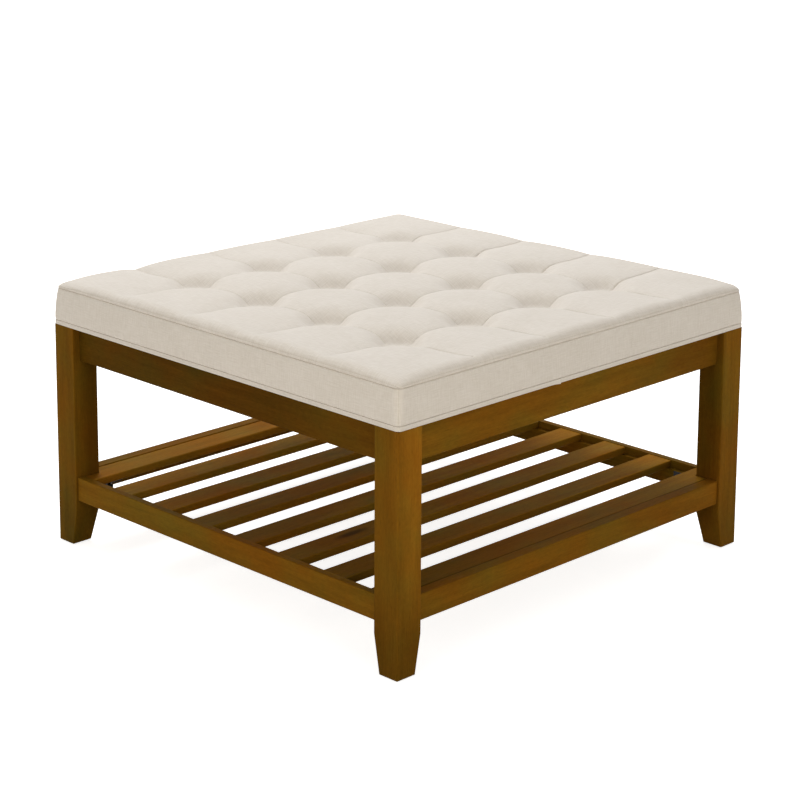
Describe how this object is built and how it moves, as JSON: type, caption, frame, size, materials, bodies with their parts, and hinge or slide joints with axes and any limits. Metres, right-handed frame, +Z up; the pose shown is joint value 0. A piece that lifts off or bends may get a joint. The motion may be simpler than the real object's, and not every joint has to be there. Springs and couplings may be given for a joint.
{
  "type": "ottoman coffee table",
  "caption": "Square coffee table with a low cushioned top in blind-tufted linen, on a stained wood frame with tapered feet and a slatted shelf.",
  "frame": {"origin": "on the floor, under the middle of the table", "axes": "+Z up, +X to the right and +Y to the back; the shelf slats run along X, and the front is the -Y side"},
  "size_m": [0.7684, 0.7684, 0.4452],
  "materials": {
    "linen": "matt linen weave",
    "stained_wood": "satin walnut stain",
    "plain_wood": "unstained",
    "plywood": "sanded, unstained",
    "foam": "open foam",
    "dust_cloth": "matt black",
    "tape": "woven tape",
    "black_steel": "satin black",
    "glide": "matt"
  },
  "bodies": {
    "root": {"seat_board": "plywood", "foam_block": "foam", "tufted_top": "linen", "hem_band": "linen", "dust_cover": "dust_cloth", "tuft_ties": "tape", "leg_back_right": "stained_wood", "glide_back_right": "glide", "leg_back_left": "stained_wood", "glide_back_left": "glide", "leg_front_left": "stained_wood", "glide_front_left": "glide", "leg_front_right": "stained_wood", "glide_front_right": "glide", "apron_back": "stained_wood", "stretcher_back": "stained_wood", "cleat_back": "plain_wood", "side_panel_back": "linen", "apron_left": "stained_wood", "stretcher_left": "stained_wood", "cleat_left": "plain_wood", "side_panel_left": "linen", "apron_front": "stained_wood", "stretcher_front": "stained_wood", "cleat_front": "plain_wood", "side_panel_front": "linen", "apron_right": "stained_wood", "stretcher_right": "stained_wood", "cleat_right": "plain_wood", "side_panel_right": "linen", "slat_1": "stained_wood", "slat_2": "stained_wood", "slat_3": "stained_wood", "slat_4": "stained_wood", "slat_5": "stained_wood", "slat_6": "stained_wood", "slat_7": "stained_wood", "slat_8": "stained_wood", "apron_brackets": "black_steel", "shelf_brackets": "black_steel", "hanger_bolts": "black_steel", "bolt_nuts": "black_steel"}
  },
  "joints": []
}
